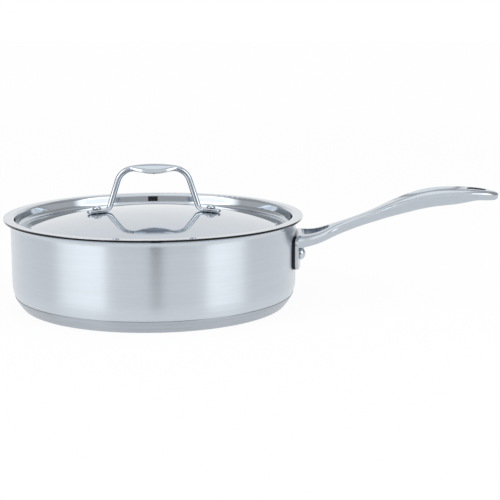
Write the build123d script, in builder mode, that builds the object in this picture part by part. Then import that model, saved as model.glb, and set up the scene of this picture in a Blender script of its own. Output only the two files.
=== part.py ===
from build123d import *
import math
import os

# Saute pan with a lift-off lid, all in stainless steel over an aluminium heat core.
# Millimetres, +Z up, origin at the middle of the base on the hob, long handle along +X.

os.makedirs("parts", exist_ok=True)

# pan shell, a drawn cup with a flared pouring lip
bore_radius = 120.0
wall = 1.0
rim_height = 75.0
lip_sweep_radius = 4.6
lip_flat = 1.0
side_curve_radius = 31.0
heel_angle = 20.0

# capsule base
cap_sheet = 0.8
core_thickness = 5.0
bond_gap = 0.1
groove_gap = 0.5
groove_height = 10.8
base_edge_round = 1.6
cap_belly = 0.4
cap_proud = 0.35

# lid sheet, measured on its upper face
lid_sheet = 0.9
lid_seat_gap = 0.2
lid_overhang = 0.4
lid_plug_gap = 1.2
lid_plug_draft = 1.5
lid_edge_round = 0.4
lid_shoulder_round = 2.6
lid_corner_round = 4.0
channel_depth = 10.2
channel_width = 10.4
channel_step = 2.0
channel_round = 1.2
dome_radius = 450.0
dome_rise = 3.7
lid_turn = 4.0

# lid handle, a bent rod forged flat at its grip and feet
rod_diameter = 5.6
lid_handle_rise = 39.3
lid_grip_half_span = 23.0
lid_grip_width = 18.0
lid_grip_thickness = 4.0
lid_grip_arch = 4.0
lid_bar_crown = 1.6
lid_leg_lean = 17.0
lid_top_bend = 9.5
lid_foot_bend = 5.0
lid_foot_reach = 8.9
lid_foot_tip = 8.7
lid_foot_width = 9.5
lid_foot_thickness = 3.2
lid_foot_gap = 0.15

# rivets of the lid handle
lid_rivet_shank = 4.0
lid_rivet_head = 7.6
lid_rivet_head_height = 3.2
lid_rivet_tail = 8.0
lid_rivet_tail_height = 1.6

# rivets of the long handle
rivet_shank = 6.0
rivet_head = 10.4
rivet_head_height = 4.4
rivet_tail = 12.0
rivet_tail_height = 2.0
rivet_gap = 0.12

# flange of the long handle, a curved plate along the wall
flange_gap = 0.25
flange_thickness = 4.0
flange_drop = 17.0
flange_height = 26.0
flange_half_width = 27.5
flange_corner_round = 5.0
flange_edge_round = 1.0
rivet_end_distance = 14.5
rivet_foot_distance = 12.2

# fork, neck, grip and hanging loop, one casting with the flange
handle_reach = 172.0
handle_rise = 38.7
fork_length = 29.0
fork_head_gap = 0.6
fork_root_web = 1.0
fork_prong_width = 12.5
fork_crotch_radius = 8.0
fork_corner_round = 3.0
grip_width = 29.0
grip_depth = 14.2
grip_dish_depth = 3.6
loop_margin = 10.0
loop_hole_length = 16.5
loop_hole_width = 13.0

# named overrun for all cuts
overrun = 2.0

# worked out from the driving sizes
wall_radius = bore_radius + wall
heel_turn = math.radians(heel_angle)
side_curve_top = groove_height + side_curve_radius * math.sin(heel_turn)
side_curve_centre = wall_radius - side_curve_radius
shell_floor = cap_sheet + core_thickness
heel_start_radius = side_curve_centre + side_curve_radius * math.cos(heel_turn)
heel_round = (groove_height - shell_floor) / (1 - math.sin(heel_turn))
heel_centre_radius = heel_start_radius - heel_round * math.cos(heel_turn)
lip_turn_height = rim_height - wall - lip_sweep_radius
lip_radius = wall_radius + lip_sweep_radius + lip_flat
cap_turn = math.asin(side_curve_top / side_curve_radius)
base_radius = side_curve_centre + side_curve_radius * math.cos(cap_turn)
lid_radius = lip_radius + lid_overhang
lip_underside = rim_height - wall
cap_rim_height = groove_height - groove_gap
core_shoulder_radius = heel_centre_radius
core_foot_radius = base_radius - base_edge_round - cap_sheet - bond_gap

lid_face = rim_height + lid_seat_gap + lid_sheet
plug_radius = bore_radius - lid_plug_gap - lid_sheet
channel_face = lid_face - channel_depth
channel_outer_radius = plug_radius - lid_plug_draft
channel_inner_radius = channel_outer_radius - channel_width
dome_edge_radius = channel_inner_radius - channel_step
dome_centre_height = lid_face + dome_rise - dome_radius
dome_edge_turn = math.degrees(math.asin(dome_edge_radius / dome_radius))

# side view of the lid handle: a crowned grip, a bend, a leaning leg and a foot along the dome
crown_radius = (lid_grip_half_span**2 + lid_bar_crown**2) / (2 * lid_bar_crown)
grip_centre = lid_face + dome_rise + lid_handle_rise - lid_grip_thickness / 2
crown_turn = math.asin(lid_grip_half_span / crown_radius)
lean_turn = math.radians(lid_leg_lean)
top_bend_centre = (
    lid_grip_half_span - lid_top_bend * math.sin(crown_turn),
    grip_centre - lid_bar_crown - lid_top_bend * math.cos(crown_turn),
)
leg_top = (
    top_bend_centre[0] + lid_top_bend * math.cos(lean_turn),
    top_bend_centre[1] + lid_top_bend * math.sin(lean_turn),
)
# the leg meets the foot's middle line at a corner, and the rivet stands one reach further out
foot_radius = dome_radius + lid_foot_gap + lid_foot_thickness / 2
corner_radius = math.hypot(foot_radius, lid_foot_reach)
leg_drop = leg_top[1] - dome_centre_height
leg_along = leg_drop * math.cos(lean_turn) - leg_top[0] * math.sin(lean_turn)
leg_across = leg_drop * math.sin(lean_turn) + leg_top[0] * math.cos(lean_turn)
leg_length = leg_along - math.sqrt(corner_radius**2 - leg_across**2)
foot_corner = (
    leg_top[0] + leg_length * math.sin(lean_turn),
    leg_top[1] - leg_length * math.cos(lean_turn),
)
lid_rivet_tilt = math.asin(foot_corner[0] / corner_radius) + math.atan(lid_foot_reach / foot_radius)
foot_middle = (
    foot_radius * math.sin(lid_rivet_tilt),
    dome_centre_height + foot_radius * math.cos(lid_rivet_tilt),
)

flange_back = wall_radius + flange_gap
flange_front = flange_back + flange_thickness
flange_top = rim_height - flange_drop
flange_bottom = flange_top - flange_height
rivet_side_place = flange_half_width - rivet_end_distance
rivet_height = flange_bottom + rivet_foot_distance
rivet_turn = math.degrees(math.asin(rivet_side_place / wall_radius))
fork_bottom = rivet_height + rivet_head / 2 + fork_head_gap
fork_root_half_width = flange_half_width - fork_prong_width

# shares of a rivet head's own height and radius
head_rim_share = 0.25
tail_rim_share = 0.5

# shares of the long handle: place, rise of the belly, width, depth and dish of the top
# in the fork the place is a share of its length and the width one of the flange's
fork_shares = (
    (-0.08, 0.000, 0.985, 0.74, -0.15),
    (0.036, 0.000, 0.981, 0.74, -0.15),
    (0.379, 0.032, 0.844, 0.66, -0.15),
    (0.623, 0.073, 0.728, 0.62, -0.15),
    (0.896, 0.141, 0.591, 0.62, -0.15),
)
# past the fork the place is a share of what is left of the reach and the width one of the grip's
grip_shares = (
    (0.035, 0.216, 0.78, 0.64, -0.15),
    (0.098, 0.300, 0.58, 0.64, -0.12),
    (0.182, 0.414, 0.52, 0.64, -0.12),
    (0.278, 0.531, 0.60, 0.72, -0.08),
    (0.362, 0.630, 0.72, 0.84, 0.05),
    (0.447, 0.718, 0.86, 0.945, 0.55),
    (0.543, 0.811, 0.965, 1.00, 1.00),
    (0.663, 0.884, 1.00, 0.98, 1.00),
    (0.759, 0.924, 0.96, 0.89, 0.70),
    (0.820, 0.968, 0.91, 0.76, 0.10),
    (0.862, 0.997, 0.85, 0.65, -0.05),
    (0.910, 1.000, 0.77, 0.59, -0.05),
    (0.958, 0.994, 0.62, 0.53, -0.05),
    (0.986, 1.003, 0.42, 0.43, -0.05),
    (1.000, 1.044, 0.16, 0.24, -0.05),
)
crease_share = 0.66
rim_share = 0.66
bulge_share = 0.12
shoulder_share = 0.62
draft_share = 0.05
corner_share = 0.42
corner_width_share = 1.15
turn_place_share = 0.707
turn_rise_share = 0.293
belly_sag_share = 0.03

# shares and counts of the lid handle
grip_station_shares = (0, 0.12, 0.26, 0.38, 0.5, 0.62, 0.74, 0.88, 1)
bend_station_shares = (0, 0.25, 0.5, 0.75, 1)
round_share = 0.5523
flat_share = 0.86


def shell_line(grow):
    # lower and outer face of the pan shell, moved outwards by a small growth
    with BuildLine() as outline:
        Line((0, shell_floor - grow), (heel_centre_radius, shell_floor - grow))
        CenterArc((heel_centre_radius, shell_floor + heel_round), heel_round + grow, -90, 90 - heel_angle)
        CenterArc((side_curve_centre, side_curve_top), side_curve_radius + grow, -heel_angle, heel_angle)
        Line((wall_radius + grow, side_curve_top), (wall_radius + grow, lip_turn_height))
        CenterArc((wall_radius + lip_sweep_radius, lip_turn_height), lip_sweep_radius - grow, 180, -90)
        Line((wall_radius + lip_sweep_radius, lip_underside - grow), (lip_radius, lip_underside - grow))
    return outline.line


def side_radius(height):
    # radius of the outer face of the pan on its lower side curve
    return side_curve_centre + math.sqrt(side_curve_radius**2 - (side_curve_top - height) ** 2)


def rivet_plane(side, reach):
    # plane square to the wall at one rivet of the long handle
    turned = Plane.XY.rotated((0, 0, side * rivet_turn))
    middle = turned.from_local_coords((reach, 0, rivet_height))
    return Plane(origin=middle, x_dir=turned.y_dir, z_dir=turned.x_dir)


lid_frame = Plane.XY.rotated((0, 0, lid_turn))


def dome_plane(side, lift):
    # plane square to the lid's dome at one rivet, its X axis running outwards down the dome
    outwards = lid_frame.x_dir * side
    reach = (dome_radius + lift) * math.sin(lid_rivet_tilt)
    height = dome_centre_height + (dome_radius + lift) * math.cos(lid_rivet_tilt)
    normal = outwards * math.sin(lid_rivet_tilt) + Vector(0, 0, math.cos(lid_rivet_tilt))
    slope = outwards * math.cos(lid_rivet_tilt) - Vector(0, 0, math.sin(lid_rivet_tilt))
    return Plane(origin=outwards * reach + Vector(0, 0, height), x_dir=slope, z_dir=normal)


def rod_section(half_width, half_height, arch, fullness):
    # closed smooth section of the lid handle's rod, flattened, arched over its width and squared by its fullness
    with BuildSketch() as section:
        with BuildLine():
            for side in (1, -1):
                edge = (side * half_width, -arch)
                for turn in (1, -1):
                    Bezier(
                        edge,
                        (side * half_width, turn * half_height * fullness - arch),
                        (side * half_width * fullness, turn * half_height),
                        (0, turn * half_height),
                    )
        make_face()
    return section.sketch


def rivet_section(shank, grip, head, head_height, tail, tail_height):
    # half section of a rivet, its axis along local Y and the underside of its head tail at zero
    with BuildSketch() as section:
        with BuildLine():
            Line((0, -tail_height), (0, grip + head_height))
            head_dome = TangentArc(
                (0, grip + head_height), (head, grip + head_height * head_rim_share), tangent=(1, 0)
            )
            Polyline(
                head_dome @ 1,
                (head, grip),
                (shank, grip),
                (shank, 0),
                (tail, 0),
                (tail, -tail_height * tail_rim_share),
            )
            TangentArc((0, -tail_height), (tail, -tail_height * tail_rim_share), tangent=(1, 0))
        make_face()
    return section.sketch


def upright(plane):
    # plane whose Y axis is another plane's normal, for the half section of a rivet
    return Plane(origin=plane.origin, x_dir=plane.x_dir, z_dir=plane.x_dir.cross(plane.z_dir))


# pan shell with the two rivet holes of the long handle
with BuildPart() as pan_shell:
    with BuildSketch(Plane.XZ):
        with BuildLine():
            add(shell_line(0))
            offset(amount=wall, side=Side.LEFT)
        make_face()
    revolve(axis=Axis.Z)
    for side in (-1, 1):
        with BuildSketch(rivet_plane(side, bore_radius - overrun)):
            Circle(rivet_shank / 2 + rivet_gap)
        extrude(amount=wall + 2 * overrun, mode=Mode.SUBTRACT)
pan_shell.part.label = "pan_shell"
export_step(pan_shell.part, "parts/pan_shell.step")

# heat core, the aluminium disc bonded under the shell
with BuildPart() as heat_core:
    with BuildSketch(Plane.XZ):
        with BuildLine():
            Polyline(
                (0, cap_sheet + bond_gap),
                (core_foot_radius, cap_sheet + bond_gap),
                (core_shoulder_radius, shell_floor - bond_gap),
                (0, shell_floor - bond_gap),
                close=True,
            )
        make_face()
    revolve(axis=Axis.Z)
heat_core.part.label = "heat_core"
export_step(heat_core.part, "parts/heat_core.step")

# base cap, the steel capsule that wraps the core and ends at the groove
cap_foot = (base_radius, 0)
cap_rim = (side_radius(cap_rim_height) + cap_proud, cap_rim_height)
cap_belly_point = (side_radius(cap_rim_height / 2) + cap_proud - cap_belly, cap_rim_height / 2)
with BuildPart() as base_cap:
    with BuildSketch(Plane.XZ):
        with BuildLine() as cap_line:
            Line((0, 0), cap_foot)
            ThreePointArc(cap_foot, cap_belly_point, cap_rim)
            fillet(cap_line.vertices().sort_by_distance(cap_foot)[0], base_edge_round)
            offset(amount=cap_sheet, side=Side.LEFT)
        make_face()
        with BuildLine():
            add(shell_line(bond_gap))
            Polyline(
                (lip_radius, lip_underside - bond_gap),
                (lip_radius, rim_height),
                (0, rim_height),
                (0, shell_floor - bond_gap),
            )
        make_face(mode=Mode.SUBTRACT)
    revolve(axis=Axis.Z)
base_cap.part.label = "base_cap"
export_step(base_cap.part, "parts/base_cap.step")

# long handle: the flange, then sections from the fork root to the tip
handle_stations = []
for place_share, rise_share, width_share, depth_share, dish_share in fork_shares:
    station = (fork_length * place_share, rise_share, flange_half_width * width_share, depth_share, dish_share)
    handle_stations.append(station)
for place_share, rise_share, width_share, depth_share, dish_share in grip_shares:
    place = fork_length + (handle_reach - fork_length) * place_share
    handle_stations.append((place, rise_share, grip_width * width_share / 2, depth_share, dish_share))
# flange with round corners, wrapped along the wall
with BuildPart() as flange:
    with BuildSketch(Plane.XY.offset(flange_bottom)):
        Circle(flange_front)
        Circle(flange_back, mode=Mode.SUBTRACT)
    extrude(amount=flange_height)
    with BuildSketch(Plane.YZ):
        with Locations((0, flange_bottom + flange_height / 2)):
            RectangleRounded(2 * flange_half_width, flange_height, flange_corner_round)
    extrude(amount=flange_front + overrun, mode=Mode.INTERSECT)
    front_face = flange.faces().sort_by_distance((flange_front, 0, flange_bottom + flange_height / 2))[0]
    fillet(front_face.edges(), flange_edge_round)
with BuildPart() as long_handle:
    for place, rise_share, half, depth_share, dish_share in handle_stations:
        bottom = fork_bottom + handle_rise * rise_share
        depth = grip_depth * depth_share
        top = bottom + depth
        crease = bottom + depth * crease_share
        rim_half = half * rim_share
        corner = depth * corner_share
        side = half - depth * draft_share
        belly = side - corner * corner_width_share
        turn = belly + (side - belly) * turn_place_share
        bulge = ((half + rim_half) / 2 + (half - rim_half) * bulge_share, crease + (top - crease) * shoulder_share)
        with BuildSketch(Plane.YZ.offset(wall_radius + place)):
            with BuildLine():
                ThreePointArc((-rim_half, top), (0, top - grip_dish_depth * dish_share), (rim_half, top))
                ThreePointArc((rim_half, top), bulge, (half, crease))
                Line((half, crease), (side, bottom + corner))
                ThreePointArc((side, bottom + corner), (turn, bottom + corner * turn_rise_share), (belly, bottom))
                ThreePointArc((belly, bottom), (0, bottom - depth * belly_sag_share), (-belly, bottom))
                ThreePointArc((-belly, bottom), (-turn, bottom + corner * turn_rise_share), (-side, bottom + corner))
                Line((-side, bottom + corner), (-half, crease))
                ThreePointArc((-half, crease), (-bulge[0], bulge[1]), (-rim_half, top))
            make_face()
    loft()
    # the wall's room
    with BuildSketch(Plane.XY.offset(flange_bottom - overrun)):
        Circle(flange_back)
    extrude(amount=rim_height, mode=Mode.SUBTRACT)
    add(flange.part)
    # fork opening with its round crotch
    with BuildSketch(Plane.XY.offset(flange_bottom)) as fork_opening:
        with BuildLine():
            crotch = (wall_radius + fork_length - fork_crotch_radius, 0)
            root_far = (flange_front + fork_root_web, fork_root_half_width)
            root_near = (flange_front + fork_root_web, -fork_root_half_width)
            lean = math.degrees(math.atan2(root_far[1] - fork_crotch_radius, crotch[0] - root_far[0]))
            arc = CenterArc(crotch, fork_crotch_radius, lean - 90, 180 - 2 * lean)
            Line(arc @ 1, root_far)
            Line(root_far, root_near)
            Line(root_near, arc @ 0)
        make_face()
        fillet(fork_opening.vertices().sort_by(Axis.X)[:2], fork_corner_round)
    extrude(amount=flange_height + handle_rise + grip_depth, mode=Mode.SUBTRACT)
    # hanging loop
    with BuildSketch(Plane.XY.offset(fork_bottom)):
        with Locations((wall_radius + handle_reach - loop_margin - loop_hole_length / 2, 0)):
            SlotOverall(loop_hole_length, loop_hole_width)
    extrude(amount=handle_rise + grip_depth + overrun, mode=Mode.SUBTRACT)
    # rivet holes in the flange
    for side in (-1, 1):
        with BuildSketch(rivet_plane(side, bore_radius)):
            Circle(rivet_shank / 2 + rivet_gap)
        extrude(amount=flange_front - bore_radius + overrun, mode=Mode.SUBTRACT)
long_handle.part.label = "long_handle"
export_step(long_handle.part, "parts/long_handle.step")

# lid: dome, channel, plug wall and flange in one drawn sheet
with BuildPart() as lid:
    with BuildSketch(Plane.XZ) as lid_section:
        with BuildLine():
            dome = CenterArc((0, dome_centre_height), dome_radius, 90, -dome_edge_turn)
            FilletPolyline(
                dome @ 1,
                (channel_inner_radius, channel_face),
                (channel_outer_radius, channel_face),
                (plug_radius, lid_face),
                (lid_radius, lid_face),
                radius=(channel_round, lid_corner_round, lid_shoulder_round),
            )
            offset(amount=lid_sheet, side=Side.RIGHT)
        make_face()
        fillet(lid_section.vertices().sort_by(Axis.X)[-2:], lid_edge_round)
    revolve(axis=Axis.Z)
    for side in (-1, 1):
        with BuildSketch(dome_plane(side, -overrun)):
            Circle(lid_rivet_shank / 2 + rivet_gap)
        extrude(amount=2 * overrun, mode=Mode.SUBTRACT)
lid.part.label = "lid"
export_step(lid.part, "parts/lid.step")

# lid handle: each leg is a round bend and a bend forged flat, and the grip a loft along its crown
crown_end = math.degrees(crown_turn)
rod_half = rod_diameter / 2
foot_half = lid_foot_thickness / 2
side_frame = Plane(origin=(0, 0, 0), x_dir=lid_frame.x_dir, z_dir=-lid_frame.y_dir)
foot_plane = dome_plane(1, lid_foot_gap)
foot_round_place = lid_foot_tip - lid_foot_width / 2
with BuildPart() as lid_leg:
    # round rod down from the grip
    with BuildLine(side_frame):
        top_bend = CenterArc(top_bend_centre, lid_top_bend, 90 - crown_end, crown_end + lid_leg_lean - 90)
    with BuildLine(side_frame):
        leg = FilletPolyline(leg_top, foot_corner, foot_middle, radius=lid_foot_bend)
    leg_edges = leg.edges().sort_by(Axis.Z, reverse=True)
    with BuildSketch(Plane(origin=top_bend @ 0, x_dir=lid_frame.y_dir, z_dir=top_bend % 0)):
        add(rod_section(rod_half, rod_half, 0, round_share))
    sweep(path=Wire([top_bend.edge(), leg_edges[0]]))
    # bend forged flat towards the foot
    for share in bend_station_shares:
        spot = leg_edges[1] @ share
        with BuildSketch(Plane(origin=spot, x_dir=lid_frame.y_dir, z_dir=leg_edges[1] % share)):
            add(
                rod_section(
                    rod_half + (lid_foot_width / 2 - rod_half) * share,
                    rod_half + (foot_half - rod_half) * share,
                    0,
                    round_share + (flat_share - round_share) * share,
                )
            )
    loft()
    # flat foot with its rounded end
    with BuildSketch(Plane(origin=leg_edges[2] @ 0, x_dir=lid_frame.y_dir, z_dir=foot_plane.x_dir)):
        add(rod_section(lid_foot_width / 2, foot_half, 0, flat_share))
    extrude(amount=leg_edges[2].length + foot_round_place)
    foot_round = foot_plane.from_local_coords((foot_round_place, 0, foot_half))
    with BuildSketch(Plane(origin=foot_round, x_dir=lid_frame.y_dir, z_dir=foot_plane.x_dir)):
        add(rod_section(lid_foot_width / 2, foot_half, 0, flat_share))
        Rectangle(lid_foot_width, lid_foot_width, align=(Align.MIN, Align.CENTER), mode=Mode.INTERSECT)
    revolve(axis=Axis(foot_round, foot_plane.z_dir))
    with BuildSketch(foot_plane):
        Circle(lid_rivet_shank / 2 + rivet_gap)
    extrude(amount=lid_foot_thickness + overrun, both=True, mode=Mode.SUBTRACT)
with BuildPart() as lid_handle:
    # the crowned grip
    with BuildLine(side_frame):
        crown = CenterArc((0, grip_centre - crown_radius), crown_radius, 90 + crown_end, -2 * crown_end)
    for share in grip_station_shares:
        swell = math.sin(math.pi * share) ** 2
        with BuildSketch(Plane(origin=crown @ share, x_dir=lid_frame.y_dir, z_dir=crown % share)):
            add(
                rod_section(
                    rod_half + (lid_grip_width / 2 - rod_half) * swell,
                    rod_half + (lid_grip_thickness / 2 - rod_half) * swell,
                    lid_grip_arch * swell,
                    round_share,
                )
            )
    loft()
    add(lid_leg.part)
    mirror(lid_leg.part, about=Plane(origin=(0, 0, 0), z_dir=lid_frame.x_dir))
lid_handle.part.label = "lid_handle"
export_step(lid_handle.part, "parts/lid_handle.step")

# rivets of the long handle, each through the flange and the wall
tail_sag = bore_radius - math.sqrt(bore_radius**2 - (rivet_tail / 2) ** 2)
tail_seat = bore_radius - tail_sag - rivet_gap
rivet_grip = flange_front + rivet_gap - tail_seat
for side, side_name in ((-1, "near"), (1, "far")):
    seat = rivet_plane(side, tail_seat)
    with BuildPart() as handle_rivet:
        with BuildSketch(upright(seat)):
            add(
                rivet_section(
                    rivet_shank / 2, rivet_grip, rivet_head / 2, rivet_head_height,
                    rivet_tail / 2, rivet_tail_height,
                )
            )
        revolve(axis=Axis(seat.origin, seat.z_dir))
    handle_rivet.part.label = "handle_rivet_" + side_name
    export_step(handle_rivet.part, "parts/handle_rivet_" + side_name + ".step")

# rivets of the lid handle, each through a foot and the lid sheet
lid_rivet_grip = lid_sheet + lid_foot_gap + lid_foot_thickness + 2 * rivet_gap
for side, side_name in ((-1, "left"), (1, "right")):
    seat = dome_plane(side, -lid_sheet - rivet_gap)
    with BuildPart() as lid_rivet:
        with BuildSketch(upright(seat)):
            add(
                rivet_section(
                    lid_rivet_shank / 2, lid_rivet_grip, lid_rivet_head / 2, lid_rivet_head_height,
                    lid_rivet_tail / 2, lid_rivet_tail_height,
                )
            )
        revolve(axis=Axis(seat.origin, seat.z_dir))
    lid_rivet.part.label = "lid_rivet_" + side_name
    export_step(lid_rivet.part, "parts/lid_rivet_" + side_name + ".step")
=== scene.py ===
import math

import bmesh
import bpy
from mathutils import Matrix, Vector


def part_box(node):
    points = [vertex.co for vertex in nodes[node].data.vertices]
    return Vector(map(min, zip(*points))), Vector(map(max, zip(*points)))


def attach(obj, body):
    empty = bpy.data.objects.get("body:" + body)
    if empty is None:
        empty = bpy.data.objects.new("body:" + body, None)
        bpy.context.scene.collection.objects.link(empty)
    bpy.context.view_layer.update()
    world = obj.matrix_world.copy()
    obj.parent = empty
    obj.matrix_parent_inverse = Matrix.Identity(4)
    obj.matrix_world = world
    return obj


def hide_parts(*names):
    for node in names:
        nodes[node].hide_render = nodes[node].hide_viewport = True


# Saute pan with a lift-off lid: finishes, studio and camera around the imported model, in metres.

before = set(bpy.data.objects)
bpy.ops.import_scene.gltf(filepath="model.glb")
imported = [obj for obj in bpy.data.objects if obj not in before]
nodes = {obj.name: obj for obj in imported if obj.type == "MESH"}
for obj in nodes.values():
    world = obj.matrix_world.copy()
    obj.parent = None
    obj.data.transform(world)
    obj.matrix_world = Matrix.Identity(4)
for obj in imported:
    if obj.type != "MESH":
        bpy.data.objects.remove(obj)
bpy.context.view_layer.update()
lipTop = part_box("pan_shell")[1][2]  # the pan's rim, where the lid rests
print("stage 1: frame loaded,", len(nodes), "nodes, rim at", round(lipTop, 4))


# shader helpers

class Wire:
    # one output socket, usable in sums; numbers go through Math nodes, vectors through Vector Math
    def __init__(self, sheet, socket):
        self.sheet = sheet
        self.socket = socket

    def reckon(self, operation, *parts):
        if self.socket.type == "VALUE":
            return self.sheet.node("ShaderNodeMath", {"operation": operation}, dict(enumerate(parts)))
        return self.sheet.node("ShaderNodeVectorMath", {"operation": operation}, dict(enumerate(parts)))

    def __add__(self, other):
        return self.reckon("ADD", self, other)

    def __radd__(self, other):
        return self.reckon("ADD", other, self)

    def __sub__(self, other):
        return self.reckon("SUBTRACT", self, other)

    def __rsub__(self, other):
        return self.reckon("SUBTRACT", other, self)

    def __mul__(self, other):
        return self.reckon("MULTIPLY", self, other)

    def __rmul__(self, other):
        return self.reckon("MULTIPLY", other, self)

    def __truediv__(self, other):
        return self.reckon("DIVIDE", self, other)

    def __pow__(self, other):
        return self.reckon("POWER", self, other)


class Sheet:
    # the node sheet of one material or of the world
    def __init__(self, owner):
        owner.use_nodes = True
        self.tree = owner.node_tree
        self.tree.nodes.clear()

    def node(self, kind, settings=None, inputs=None, out=0):
        made = self.tree.nodes.new(kind)
        for name, value in (settings or {}).items():
            setattr(made, name, value)
        for key, value in (inputs or {}).items():
            if isinstance(value, Wire):
                self.tree.links.new(value.socket, made.inputs[key])
            else:
                made.inputs[key].default_value = value
        return Wire(self, made.outputs[out]) if len(made.outputs) else made

    def noise(self, where, detail, rough):
        return self.node(
            "ShaderNodeTexNoise", {"noise_dimensions": "3D"},
            {"Vector": where, "Scale": 1.0, "Detail": detail, "Roughness": rough},
        )

    def vector(self, x, y, z):
        return self.node("ShaderNodeCombineXYZ", None, {0: x, 1: y, 2: z})

    def mix(self, factor, first, second):
        # mix of two colours, a plain tuple or a wire each
        colours = [(*c, 1.0) if isinstance(c, tuple) else c for c in (first, second)]
        return self.node(
            "ShaderNodeMix", {"data_type": "RGBA"}, {0: factor, 6: colours[0], 7: colours[1]}, out=2
        )

    def step(self, value, low, high):
        # 0 below low, 1 above high, smooth between
        return self.node(
            "ShaderNodeMapRange", {"interpolation_type": "SMOOTHSTEP"},
            {"Value": value, "From Min": low, "From Max": high, "To Min": 0.0, "To Max": 1.0},
        )

    def shades(self, tone, look):
        # from the look's darkest shade to its lightest
        dark, light = [shade(look["colour"], factor) for factor in look["shades"]]
        return self.mix(tone, dark, light)

    def bump(self, height, distance, strength):
        heights = {"Height": height, "Distance": distance, "Strength": strength}
        return self.node("ShaderNodeBump", None, heights)

    def place(self):
        # object coordinates, which are the row frame's metres, and their three parts
        where = self.node("ShaderNodeTexCoord", None, None, out=3)
        parts = self.node("ShaderNodeSeparateXYZ", None, {0: where}).socket.node.outputs
        return [where] + [Wire(self, part) for part in parts]

    def surface(self, **sockets):
        names = {name.replace("_", " "): value for name, value in sockets.items()}
        shader = self.node("ShaderNodeBsdfPrincipled", None, names)
        self.node("ShaderNodeOutputMaterial", None, {"Surface": shader})


noiseMiddle = 0.5
brushTurn = 0.25  # gloss drawn out across lines that run round the axis


def shade(colour, factor):
    return tuple(min(1.0, channel * factor) for channel in colour)


def swing(noise, amount):
    # a noise about nought
    return (noise - noiseMiddle) * amount


def newSheet(name):
    material = bpy.data.materials.new(name)
    return material, Sheet(material)


def dress(nodeName, material):
    piece = nodes[nodeName]
    piece.data.materials.clear()
    piece.data.materials.append(material)


# turned finishes: shell, base cap and lid are brushed round the Z axis

flatShare = 0.8  # how densely the lines lie on flats, against walls


def turnedPlace(sheet, fine, around):
    # noise coordinates drawn out round the axis, so that lines follow
    # the radius on flats and the height on walls
    x, y, z = sheet.place()[1:]
    radius = (x * x + y * y) ** 0.5
    along = radius * flatShare + z
    return radius, z, sheet.vector(x / radius * around, y / radius * around, along * fine)


shellLook = {
    "colour": (0.61, 0.66, 0.715),
    "shades": (0.96, 1.02),
    "toneShares": (0.55, 0.45),  # of line and band
    "toneSpan": (0.3, 0.7),
    "roughness": 0.32,
    "roughSwings": (0.06, 0.015, 0.015),  # of line, band and smudge
    "mirrorRoughness": 0.10,
    "brushing": 0.92,
    "lineCount": 2600.0,
    "lineAround": 5.0,
    "lineDepth": 0.000015,
    "lineStrength": 0.22,
    "bandCount": 420.0,
    "bandAround": 1.6,
    "smudgeScale": (24.0, 24.0, 30.0),
    "lipRadius": (0.1213, 0.1225),
    "lipHeight": (0.0690, 0.0710),
    # painted shade: a near-black band on the rim's outer top edge, under the lid's flange
    "gapShadeRadius": (0.1250, 0.1256),
    "gapShadeBelowLip": (0.0012, 0.0006),
    "gapShadeColour": (0.03, 0.03, 0.033),
}


def shellSteel(look):
    # brushed wall, mirror-like pouring lip, and a near-black painted shade line where the lid rests on it:
    # painted shadow of the gap and painted dark reflection
    material, sheet = newSheet("brushedShell")
    radius, height, linePlace = turnedPlace(sheet, look["lineCount"], look["lineAround"])
    bandPlace = turnedPlace(sheet, look["bandCount"], look["bandAround"])[2]
    line = sheet.noise(linePlace, detail=3.0, rough=0.6)
    band = sheet.noise(bandPlace, detail=2.0, rough=0.5)
    smudge = sheet.noise(sheet.place()[0] * look["smudgeScale"], detail=3.0, rough=0.55)
    lip = sheet.step(radius, *look["lipRadius"]) * sheet.step(height, *look["lipHeight"])
    # painted shadow and painted dark reflection: the rim's outer top edge is painted near black
    gapShadeHeight = [lipTop - below for below in look["gapShadeBelowLip"]]
    gapShade = sheet.step(radius, *look["gapShadeRadius"]) * sheet.step(height, *gapShadeHeight)
    lineSwing, bandSwing, smudgeSwing = look["roughSwings"]
    swings = swing(line, lineSwing) + swing(band, bandSwing) + swing(smudge, smudgeSwing)
    brushed = look["roughness"] + swings
    lineTone, bandTone = look["toneShares"]
    tone = sheet.step(line * lineTone + band * bandTone, *look["toneSpan"])
    sheet.surface(
        Base_Color=sheet.mix(gapShade, sheet.shades(tone, look), look["gapShadeColour"]),
        Metallic=1.0,
        Roughness=brushed * (1 - lip) + look["mirrorRoughness"] * lip,
        Anisotropic=look["brushing"],
        Anisotropic_Rotation=brushTurn,
        Normal=sheet.bump(line * (1 - lip), look["lineDepth"], look["lineStrength"]),
    )
    return material


baseLook = {
    # painted shade: the colour is held darker than the shell's for the pan's shadow on the floor, which
    # the base cap reflects
    "colour": (0.47, 0.51, 0.555),
    "shades": (0.86, 1.06),
    "toneShares": (0.5, 0.3, 0.2),  # of line, band and scuff
    "toneSpan": (0.32, 0.68),
    "roughness": 0.38,
    "roughSwings": (0.14, 0.08),  # of line and scuff
    "brushing": 0.85,
    "lineCount": 2200.0,
    "lineAround": 6.0,
    "lineDepth": 0.00002,
    "lineStrength": 0.4,
    "bandCount": 380.0,
    "bandAround": 1.4,
    "scuffScale": (60.0, 60.0, 240.0),
}


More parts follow.
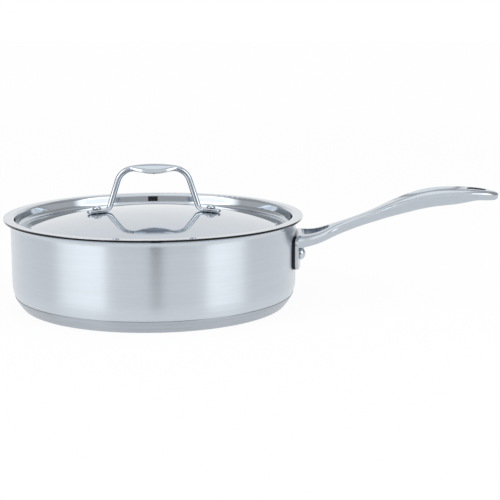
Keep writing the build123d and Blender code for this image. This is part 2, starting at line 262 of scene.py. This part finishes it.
def baseSteel(look):
    material, sheet = newSheet("brushedBase")
    linePlace = turnedPlace(sheet, look["lineCount"], look["lineAround"])[2]
    bandPlace = turnedPlace(sheet, look["bandCount"], look["bandAround"])[2]
    line = sheet.noise(linePlace, detail=3.0, rough=0.65)
    band = sheet.noise(bandPlace, detail=2.0, rough=0.5)
    scuff = sheet.noise(sheet.place()[0] * look["scuffScale"], detail=4.0, rough=0.6)
    lineTone, bandTone, scuffTone = look["toneShares"]
    tone = sheet.step(line * lineTone + band * bandTone + scuff * scuffTone, *look["toneSpan"])
    lineSwing, scuffSwing = look["roughSwings"]
    sheet.surface(
        Base_Color=sheet.shades(tone, look),
        Metallic=1.0,
        Roughness=look["roughness"] + swing(line, lineSwing) + swing(scuff, scuffSwing),
        Anisotropic=look["brushing"],
        Anisotropic_Rotation=brushTurn,
        Normal=sheet.bump(line, look["lineDepth"], look["lineStrength"]),
    )
    return material


lidLook = {
    "colour": (0.54, 0.583, 0.632),
    "shades": (0.94, 1.03),
    "toneShares": (0.7, 0.3),  # of line and smudge
    "toneSpan": (0.3, 0.7),
    "domeRoughness": 0.055,
    "roughSwings": (0.03, 0.02),  # of line and smudge
    "rimRoughness": 0.05,
    "brushing": 0.5,
    "lineCount": 3200.0,
    "lineAround": 7.0,
    "lineDepth": 0.000006,
    "lineStrength": 0.3,
    "smudgeScale": (30.0, 30.0, 30.0),
    # painted shade: the lower part of the flange's outer edge is painted near black
    "domeEdge": (0.1035, 0.1045),
    "edgeShadeRadius": (0.1246, 0.1252),
    "edgeShadeAboveLip": (0.0007, 0.0010),
    "edgeShadeColour": (0.03, 0.03, 0.033),
}


def lidSteel(look):
    # satin dome, mirror-like channel and flange, and the flange's outer edge painted near black: painted
    # shadow of the gap over the rim and painted dark reflection
    material, sheet = newSheet("polishedLid")
    radius, height, linePlace = turnedPlace(sheet, look["lineCount"], look["lineAround"])
    line = sheet.noise(linePlace, detail=3.0, rough=0.6)
    smudge = sheet.noise(sheet.place()[0] * look["smudgeScale"], detail=3.0, rough=0.5)
    dome = 1 - sheet.step(radius, *look["domeEdge"])
    # painted shadow and painted dark reflection on the flange's outer edge, where the mask edge is 1
    edgeShadeHeight = [lipTop + above for above in look["edgeShadeAboveLip"]]
    edge = sheet.step(radius, *look["edgeShadeRadius"]) * (1 - sheet.step(height, *edgeShadeHeight))
    lineTone, smudgeTone = look["toneShares"]
    tone = sheet.step(line * lineTone + smudge * smudgeTone, *look["toneSpan"])
    lineSwing, smudgeSwing = look["roughSwings"]
    satin = look["domeRoughness"] + swing(line, lineSwing) + swing(smudge, smudgeSwing)
    sheet.surface(
        Base_Color=sheet.mix(edge, sheet.shades(tone, look), look["edgeShadeColour"]),
        Metallic=1.0,
        Roughness=satin * dome + look["rimRoughness"] * (1 - dome),
        Anisotropic=look["brushing"],
        Anisotropic_Rotation=brushTurn,
        Normal=sheet.bump(line * dome, look["lineDepth"], look["lineStrength"]),
    )
    return material


# polished castings and rods

handleLook = {
    "colour": (0.51, 0.555, 0.605),
    "roughness": 0.17,
    "grain": (70.0, 1500.0, 1500.0),
    # painted shade on the side that lies against the pan's wall
    "wallShadeRadius": (0.1226, 0.1232),
    "wallShadeColour": (0.03, 0.03, 0.033),
}

loopLook = {
    "colour": (0.51, 0.555, 0.605),
    "roughness": 0.13,
    "grain": (90.0, 1900.0, 90.0),
}

rivetLook = {
    "colour": (0.56, 0.60, 0.65),
    "roughness": 0.14,
    "grain": (900.0, 900.0, 900.0),
}

# what the three have in common
polishLook = {
    "shades": (0.93, 1.04),
    "toneShares": (0.7, 0.3),  # of grain and smudge
    "toneSpan": (0.3, 0.7),
    "roughSwings": (0.08, 0.06),  # of grain and smudge
    "grainDepth": 0.00001,
    "grainStrength": 0.3,
    "smudgeScale": (55.0, 55.0, 55.0),
}


def polishedSteel(name, ownLook):
    # polishing grain drawn out along one axis, with faint smudges over it
    look = {**polishLook, **ownLook}
    material, sheet = newSheet(name)
    where, x, y, z = sheet.place()
    grain = sheet.noise(where * look["grain"], detail=3.0, rough=0.6)
    smudge = sheet.noise(where * look["smudgeScale"], detail=3.0, rough=0.5)
    grainTone, smudgeTone = look["toneShares"]
    tone = sheet.step(grain * grainTone + smudge * smudgeTone, *look["toneSpan"])
    colour = sheet.shades(tone, look)
    if "wallShadeRadius" in look:
        # painted shade: the side that lies against the pan's wall is painted near black, for the gap's
        # shadow and the dark it reflects
        away = sheet.step((x * x + y * y) ** 0.5, *look["wallShadeRadius"])
        colour = sheet.mix(away, look["wallShadeColour"], colour)
    grainSwing, smudgeSwing = look["roughSwings"]
    sheet.surface(
        Base_Color=colour,
        Metallic=1.0,
        Roughness=look["roughness"] + swing(grain, grainSwing) + swing(smudge, smudgeSwing),
        Normal=sheet.bump(grain, look["grainDepth"], look["grainStrength"]),
    )
    return material


coreLook = {
    "colour": (0.79, 0.79, 0.80),
    "shades": (0.9, 1.0),
    "roughness": 0.45,
    "roughSwing": 0.15,
    "grain": (120.0, 1200.0, 400.0),
}


def coreAluminium(look):
    material, sheet = newSheet("rolledAluminium")
    grain = sheet.noise(sheet.place()[0] * look["grain"], detail=3.0, rough=0.6)
    sheet.surface(
        Base_Color=sheet.shades(grain, look),
        Metallic=1.0,
        Roughness=look["roughness"] + swing(grain, look["roughSwing"]),
    )
    return material


dress("pan_shell", shellSteel(shellLook))
dress("base_cap", baseSteel(baseLook))
dress("heat_core", coreAluminium(coreLook))
dress("lid", lidSteel(lidLook))
dress("long_handle", polishedSteel("polishedHandle", handleLook))
rivetSteel = polishedSteel("polishedRivet", rivetLook)
for rivetName in ("handle_rivet_near", "handle_rivet_far", "lid_rivet_left", "lid_rivet_right"):
    dress(rivetName, rivetSteel)
print("stage 2: finishes on")


# lid handle, one bent rod with its forged grip and feet, in metres and degrees
loopForm = {
    "turn": 4.0,
    "top": 0.1191,
    "rod": 0.0025,
    "halfSpan": 0.0192,
    "crown": 0.0019,
    "gripWidth": 0.0180,
    "gripThick": 0.0046,
    "gripDroop": 0.0050,
    "swellPower": 0.85,
    "lean": 17.6,
    "topBend": 0.0150,
    "footBend": 0.0050,
    "footWidth": 0.0095,
    "footThick": 0.0032,
    "footGap": 0.00015,
    "footTip": 0.0087,
    "rivetOut": 0.04848,
    "holeRadius": 0.00212,
    "domeRadius": 0.450,
    "domeTop": 0.0798,
    "roundness": (0.5523, 0.70, 0.86),  # of rod, grip and foot; the rod's makes a circle
    "drillDepth": 0.0096,
    "weld": 1e-7,
    "sharpAngle": 50.0,
}
# how finely each stretch is divided
loopSteps = {"grip": 28, "bend": 14, "foot": 12, "quarter": 10, "tip": 20, "hole": 40}


def rodRing(halfWidth, halfThick, droop, fullness):
    # one section in four curves: top middle, right edge, bottom middle, left edge, and back
    ring = []
    for side, rise, inwards in ((1, 1, False), (1, -1, True), (-1, -1, False), (-1, 1, True)):
        curve = [
            (0, rise * halfThick),
            (side * halfWidth * fullness, rise * halfThick),
            (side * halfWidth, rise * halfThick * fullness - droop),
            (side * halfWidth, -droop),
        ]
        if inwards:
            curve.reverse()
        for step in range(loopSteps["quarter"]):
            share = step / loopSteps["quarter"]
            rest = 1 - share
            weights = (rest**3, 3 * share * rest**2, 3 * share**2 * rest, share**3)
            ring.append([sum(w * point[axis] for w, point in zip(weights, curve)) for axis in (0, 1)])
    return ring


def loopStations(look):
    # from the grip's middle down to the foot's round end, each with its
    # out, up, heading, half width, half thickness, droop and fullness
    plain, gripFull, footFull = look["roundness"]
    rod, lean = look["rod"], math.radians(look["lean"])
    gripHalf, gripRise = look["gripWidth"] / 2, look["gripThick"] / 2
    footHalf, footRise = look["footWidth"] / 2, look["footThick"] / 2
    crownRadius = (look["halfSpan"] ** 2 + look["crown"] ** 2) / (2 * look["crown"])
    crownTurn = math.asin(look["halfSpan"] / crownRadius)
    middle = look["top"] - gripRise
    stations = []
    for step in range(loopSteps["grip"] + 1):
        share = step / loopSteps["grip"]
        turn = crownTurn * share
        swell = max(0.0, math.cos(math.pi / 2 * share)) ** look["swellPower"]
        stations.append((
            crownRadius * math.sin(turn), middle - crownRadius * (1 - math.cos(turn)), -turn,
            rod + (gripHalf - rod) * swell, rod + (gripRise - rod) * swell,
            look["gripDroop"] * swell, plain + (gripFull - plain) * swell,
        ))
    bend = look["topBend"]
    hub = Vector((look["halfSpan"], middle - look["crown"]))
    hub -= bend * Vector((math.sin(crownTurn), math.cos(crownTurn)))
    for step in range(1, loopSteps["bend"] + 1):
        turn = crownTurn + (math.pi / 2 - lean - crownTurn) * step / loopSteps["bend"]
        point = hub + bend * Vector((math.sin(turn), math.cos(turn)))
        stations.append((point[0], point[1], -turn, rod, rod, 0, plain))
    # the leg runs down to the corner where it meets the foot's middle line
    reach = look["domeRadius"] + look["footGap"] + footRise
    tilt = math.asin(look["rivetOut"] / reach)
    rivet = Vector((look["rivetOut"], look["domeTop"] - look["domeRadius"] + reach * math.cos(tilt)))
    down = Vector((math.sin(lean), -math.cos(lean)))
    out = Vector((math.cos(tilt), -math.sin(tilt)))
    top = Vector(stations[-1][:2])
    corner = top + down * ((rivet - top).cross(out) / down.cross(out))
    bend = look["footBend"]
    start = corner - down * bend * math.tan(down.angle(out) / 2)
    hub = start + bend * Vector((math.cos(lean), math.sin(lean)))
    for step in range(loopSteps["foot"] + 1):
        share = step / loopSteps["foot"]
        heading = lean - math.pi / 2 + (math.pi / 2 - lean - tilt) * share
        point = hub + bend * Vector((math.sin(heading), -math.cos(heading)))
        stations.append((
            point[0], point[1], heading,
            rod + (footHalf - rod) * share, rod + (footRise - rod) * share,
            0, plain + (footFull - plain) * share,
        ))
    end = rivet + out * (look["footTip"] - footHalf)
    stations.append((end[0], end[1], -tilt, footHalf, footRise, 0, footFull))
    return stations, rivet, tilt


def addGrid(form, rows, closed):
    for first, second in zip(rows, rows[1:]):
        for place in range(len(first) if closed else len(first) - 1):
            ahead = (place + 1) % len(first)
            form.faces.new((first[place], second[place], second[ahead], first[ahead]))


def formLoop(look, stations, along, across, upwards):
    form = bmesh.new()
    left = [(-out, up, -heading, *section) for out, up, heading, *section in reversed(stations[1:])]

    def stand(out, up, heading):
        # a station's middle, its own upright and its own way ahead
        middle = along * out + upwards * up
        lift = upwards * math.cos(heading) - along * math.sin(heading)
        ahead = along * math.cos(heading) + upwards * math.sin(heading)
        return middle, lift, ahead

    rings = []
    for out, up, heading, *section in left + stations:
        middle, lift, ahead = stand(out, up, heading)
        rings.append([form.verts.new(middle + across * y + lift * t) for y, t in rodRing(*section)])
    addGrid(form, rings, True)
    # round end of each foot, half a section turned about the foot's own upright
    for (out, up, heading, *section), side in ((left[0], -1), (stations[-1], 1)):
        middle, lift, ahead = stand(out, up, heading)
        half = rodRing(*section)[:2 * loopSteps["quarter"] + 1]
        rows = []
        for step in range(loopSteps["tip"] + 1):
            angle = math.pi * step / loopSteps["tip"]
            spoke = across * math.cos(angle) + ahead * side * math.sin(angle)
            rows.append([form.verts.new(middle + spoke * y + lift * t) for y, t in half])
        addGrid(form, rows, False)
    bmesh.ops.remove_doubles(form, verts=form.verts, dist=look["weld"])
    bmesh.ops.recalc_face_normals(form, faces=form.faces)
    return form


def formDrills(look, rivet, tilt, along, upwards):
    # a rod through each foot, square to it, where the rivet goes
    form = bmesh.new()
    for side in (-1, 1):
        axis = upwards * math.cos(tilt) + along * math.sin(tilt) * side
        place = Matrix.Translation(along * rivet[0] * side + upwards * rivet[1])
        bmesh.ops.create_cone(
            form, cap_ends=True, segments=loopSteps["hole"], depth=look["drillDepth"],
            radius1=look["holeRadius"], radius2=look["holeRadius"],
            matrix=place @ axis.to_track_quat("Z", "Y").to_matrix().to_4x4(),
        )
    return form


def addForm(name, form):
    mesh = bpy.data.meshes.new(name)
    form.to_mesh(mesh)
    form.free()
    made = bpy.data.objects.new(name, mesh)
    bpy.context.scene.collection.objects.link(made)
    return made


def makeLoop(look):
    stations, rivet, tilt = loopStations(look)
    turn = math.radians(look["turn"])
    along = Vector((math.cos(turn), math.sin(turn), 0))
    across = Vector((-math.sin(turn), math.cos(turn), 0))
    upwards = Vector((0, 0, 1))
    piece = addForm("bent_loop", formLoop(look, stations, along, across, upwards))
    drills = addForm("drill", formDrills(look, rivet, tilt, along, upwards))
    cut = piece.modifiers.new("holes", "BOOLEAN")
    cut.operation = "DIFFERENCE"
    cut.solver = "EXACT"
    cut.object = drills
    drilled = piece.evaluated_get(bpy.context.evaluated_depsgraph_get())
    done = bpy.data.meshes.new_from_object(drilled)
    piece.modifiers.clear()
    piece.data = done
    bpy.data.objects.remove(drills)
    done.polygons.foreach_set("use_smooth", [True] * len(done.polygons))
    done.set_sharp_from_angle(angle=math.radians(look["sharpAngle"]))
    done.materials.clear()
    done.materials.append(polishedSteel("polishedLoop", loopLook))
    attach(piece, "lid")
    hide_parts("lid_handle")
    print("lid handle:", len(done.vertices), "points")


makeLoop(loopForm)
print("stage 3: lid handle made")


# studio: pale floor, white background, and a dome of soft panels that the metal reflects

studio = {
    "floorSize": 16.0,
    "floorColour": (0.90, 0.90, 0.905),
    "floorShades": (1.0, 0.985),
    "floorGrain": (9.0, 9.0, 9.0),
    "floorGlow": 0.93,
    "domeRadius": 2.0,
    "domeLift": 0.001,
    "turnSteps": 360,
    "liftSteps": 90,
    "roomLevel": 0.62,
}

# panels in degrees: turn from the front towards the long handle, lift above the floor,
# and how wide the low, the high and the upper and lower edges fade
panels = (
    {"name": "high sides", "turn": (72, 288), "lift": (12, 48), "level": 0.45, "soft": (10, 10, 8)},
    {"name": "back sweep", "turn": (146, 214), "lift": (-5, 44), "level": 1.0, "soft": (16, 16, 6)},
    {"name": "overhead box", "turn": (-180, 180), "lift": (64, 98), "level": 1.3, "soft": (1, 1, 14)},
    {"name": "front room", "turn": (-33, 44), "lift": (-5, 60), "level": 1.0, "soft": (0.7, 0.7, 8)},
    {"name": "left box", "turn": (-70, -33.5), "lift": (-5, 50), "level": 3.1, "soft": (22, 0.7, 8)},
    {"name": "right box", "turn": (44.5, 74), "lift": (-5, 50), "level": 3.0, "soft": (0.7, 16, 8)},
    {"name": "front room foot", "turn": (-33, 44), "lift": (-9, 20), "level": 0.53, "soft": (0.7, 0.7, 8)},
    {"name": "left box foot", "turn": (-70, -33.5), "lift": (-9, 16), "level": 1.65, "soft": (22, 0.7, 8)},
    {"name": "right box foot", "turn": (44.5, 74), "lift": (-9, 16), "level": 1.6, "soft": (0.7, 16, 8)},
)

# dark card in front of the pan, a strip on the floor and then upright, fanned out from the wall's
# nearest point; a bend says how far away it is, how high, and from which turn to which
flag = {
    "from": (0.0099, -0.12),
    "bends": (
        (0.20, 0.002, 1.5, 9.8),
        (0.43, 0.002, 1.5, 9.8),
        (0.43, 0.003, -0.5, 11.5),
        (0.43, 0.20, -0.5, 11.5),
    ),
    "colour": (0.02, 0.02, 0.022),
    "shades": (1.0, 1.4),
    "roughness": 0.9,
    "clothScale": (400.0, 400.0, 400.0),
}


def backgroundRays(sheet):
    # 1 for what the camera, a glossy or a clear surface sees
    path = sheet.node("ShaderNodeLightPath", None, None).socket.node.outputs
    seen = [Wire(sheet, path[name]) for name in ("Is Camera Ray", "Is Glossy Ray", "Is Transmission Ray")]
    return sheet.node("ShaderNodeMath", {"operation": "MAXIMUM"}, {0: seen[0] + seen[1], 1: seen[2]})


def addStage(name, points, faces, material):
    mesh = bpy.data.meshes.new(name)
    mesh.from_pydata(points, [], faces)
    mesh.materials.append(material)
    made = bpy.data.objects.new(name, mesh)
    bpy.context.scene.collection.objects.link(made)
    return made


def makeFloor(look):
    # pale and lit, shown nearly white, with the pan's shadow kept
    half = look["floorSize"] / 2
    material, sheet = newSheet("paleFloor")
    grain = sheet.noise(sheet.place()[0] * look["floorGrain"], detail=3.0, rough=0.5)
    colours = [shade(look["floorColour"], factor) for factor in look["floorShades"]]
    lit = sheet.node("ShaderNodeBsdfDiffuse", None, {"Color": sheet.mix(grain, *colours)})
    white = sheet.node("ShaderNodeEmission", None, {"Color": (1, 1, 1, 1), "Strength": 1.0})
    glow = backgroundRays(sheet) * look["floorGlow"]
    shown = sheet.node("ShaderNodeMixShader", None, {0: glow, 1: lit, 2: white})
    sheet.node("ShaderNodeOutputMaterial", None, {"Surface": shown})
    corners = [(-half, -half, 0), (half, -half, 0), (half, half, 0), (-half, half, 0)]
    addStage("floor", corners, [(0, 1, 2, 3)], material)


def ease(value, edge, soft):
    # 0 before the edge and 1 past it, over the soft width
    share = min(1.0, max(0.0, (value - edge) / soft + 0.5))
    return share * share * (3 - 2 * share)


def panelLevel(turn, lift):
    level = studio["roomLevel"]
    for panel in panels:
        middle = sum(panel["turn"]) / 2
        reach = (panel["turn"][1] - panel["turn"][0]) / 2
        away = (turn - middle + 180) % 360 - 180
        softLow, softHigh, softLift = panel["soft"]
        inside = 1.0  # a panel that goes all the way round has no side edges
        if reach < 180:
            inside = ease(away, -reach, softLow) * (1 - ease(away, reach, softHigh))
        inside *= ease(lift, panel["lift"][0], softLift) * (1 - ease(lift, panel["lift"][1], softLift))
        level += (panel["level"] - level) * inside
    return level


def makePanels(look):
    points, levels = [], []
    for liftStep in range(look["liftSteps"] + 1):
        lift = 90 * liftStep / look["liftSteps"]
        for turnStep in range(look["turnSteps"]):
            turn = 360 * turnStep / look["turnSteps"] - 180
            side, up = math.radians(turn), math.radians(lift)
            flat = Vector((math.sin(side), -math.cos(side), 0)) * math.cos(up)
            points.append((flat + Vector((0, 0, math.sin(up)))) * look["domeRadius"])
            points[-1].z += look["domeLift"]
            levels.append(panelLevel(turn, lift))
    faces = []
    for row in range(look["liftSteps"]):
        for step in range(look["turnSteps"]):
            ahead = (step + 1) % look["turnSteps"]
            low, high = row * look["turnSteps"], (row + 1) * look["turnSteps"]
            faces.append((low + step, low + ahead, high + ahead, high + step))
    material, sheet = newSheet("softPanels")
    level = sheet.node("ShaderNodeAttribute", {"attribute_name": "panelLevel"}, None, out=0)
    glow = sheet.node("ShaderNodeEmission", None, {"Color": level, "Strength": 1.0})
    sheet.node("ShaderNodeOutputMaterial", None, {"Surface": glow})
    dome = addStage("panelDome", points, faces, material)
    dome.data.attributes.new("panelLevel", "FLOAT", "POINT").data.foreach_set("value", levels)
    dome.visible_camera = False


def makeFlag(look):
    # seen only in reflections
    x, y = look["from"]
    material, sheet = newSheet("darkCard")
    cloth = sheet.noise(sheet.place()[0] * look["clothScale"], detail=2.0, rough=0.5)
    sheet.surface(Base_Color=sheet.shades(cloth, look), Roughness=look["roughness"])
    corners = []
    for reach, height, *turns in look["bends"]:
        corners += [(x + reach * math.tan(math.radians(turn)), y - reach, height) for turn in turns]
    card = addStage("darkCard", corners, [(0, 1, 3, 2), (4, 5, 7, 6)], material)
    card.visible_camera = False
    card.visible_shadow = False
    card.visible_diffuse = False


def makeWorld():
    world = bpy.data.worlds.new("studioWorld")
    bpy.context.scene.world = world
    sheet = Sheet(world)
    sky = sheet.node("ShaderNodeBackground", None, {"Color": (1, 1, 1, 1), "Strength": 1.0})
    sheet.node("ShaderNodeOutputWorld", None, {"Surface": sky})


makeFloor(studio)
makePanels(studio)
makeFlag(flag)
makeWorld()
print("stage 4: studio ready")


# camera at the photograph's height and distance

shot = {
    "target": (0.08189, 0.0, 0.04451),
    "distance": 1.1,
    "elevation": 10.818,
    "lens": 92.19,
    "sensor": 36.0,
}


def makeCamera(look):
    lens = bpy.data.cameras.new("camera")
    camera = bpy.data.objects.new("camera", lens)
    bpy.context.scene.collection.objects.link(camera)
    lift = math.radians(look["elevation"])
    back = Vector((0, -math.cos(lift), math.sin(lift)))
    camera.location = Vector(look["target"]) + back * look["distance"]
    camera.rotation_euler = (math.pi / 2 - lift, 0, 0)
    lens.lens = look["lens"]
    lens.sensor_width = look["sensor"]
    bpy.context.scene.camera = camera


makeCamera(shot)
bpy.context.scene.view_settings.view_transform = "Standard"
print("stage 5: camera set")
